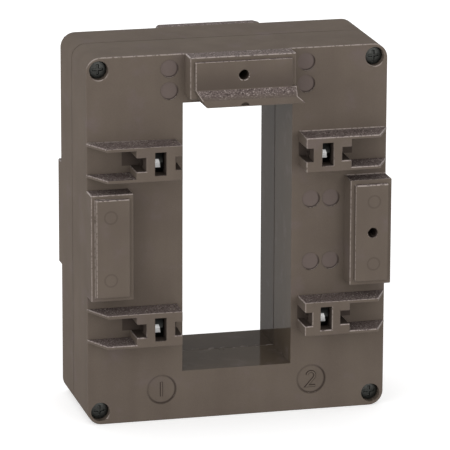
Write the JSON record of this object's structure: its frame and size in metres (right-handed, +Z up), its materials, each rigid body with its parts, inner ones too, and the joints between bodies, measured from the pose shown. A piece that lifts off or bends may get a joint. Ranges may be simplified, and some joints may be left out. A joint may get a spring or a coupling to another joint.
{
  "type": "current transformer",
  "caption": "Window type current transformer in a moulded plastic case, with an upright busbar window, clamp screw seats with captive nuts and covered secondary terminals.",
  "frame": {"origin": "middle of the bottom of the part, halfway across its width and its overall depth, on the surface that it stands on", "axes": "+Z up along the busbar window, +X to the right seen from the P2 face, +Y from the P2 face through the window to the P1 face with the terminals"},
  "size_m": [0.0934, 0.058, 0.1144],
  "materials": {
    "case_plastic": "moulded glass filled thermoplastic, dark grey brown, satin, with fine dust and light worn edges",
    "cover_plastic": "moulded thermoplastic, grey brown, satin",
    "core_strip": "wound silicon steel strip with a dull coating, the turns show at the sides",
    "core_box_plastic": "moulded natural nylon",
    "enamelled_copper": "enamelled copper wire, glossy, wound in layers",
    "winding_tape": "translucent polyester insulating tape",
    "lead_sleeve": "red insulating sleeve",
    "pad_rubber": "black rubber",
    "terminal_brass": "stamped brass, nickel washed",
    "zinc_steel": "bright zinc plated steel",
    "dark_steel": "steel screws with a dark phosphate coating"
  },
  "bodies": {
    "root": {"case_half_p2": "case_plastic", "case_half_p1": "case_plastic", "wound_core": "core_strip", "core_box_p2": "core_box_plastic", "core_box_p1": "core_box_plastic", "winding_left": "enamelled_copper", "winding_right": "enamelled_copper", "winding_tape_left": "winding_tape", "winding_tape_right": "winding_tape", "series_link": "enamelled_copper", "lead_s1": "enamelled_copper", "lead_s2": "enamelled_copper", "lead_sleeve_s1": "lead_sleeve", "lead_sleeve_s2": "lead_sleeve", "core_pads": "pad_rubber", "terminal_plate_s1": "terminal_brass", "terminal_plate_s2": "terminal_brass", "terminal_washers": "zinc_steel", "terminal_screws": "zinc_steel", "terminal_cover_s1": "cover_plastic", "terminal_cover_s2": "cover_plastic", "case_screws": "dark_steel", "clamp_nuts": "zinc_steel"}
  },
  "joints": []
}
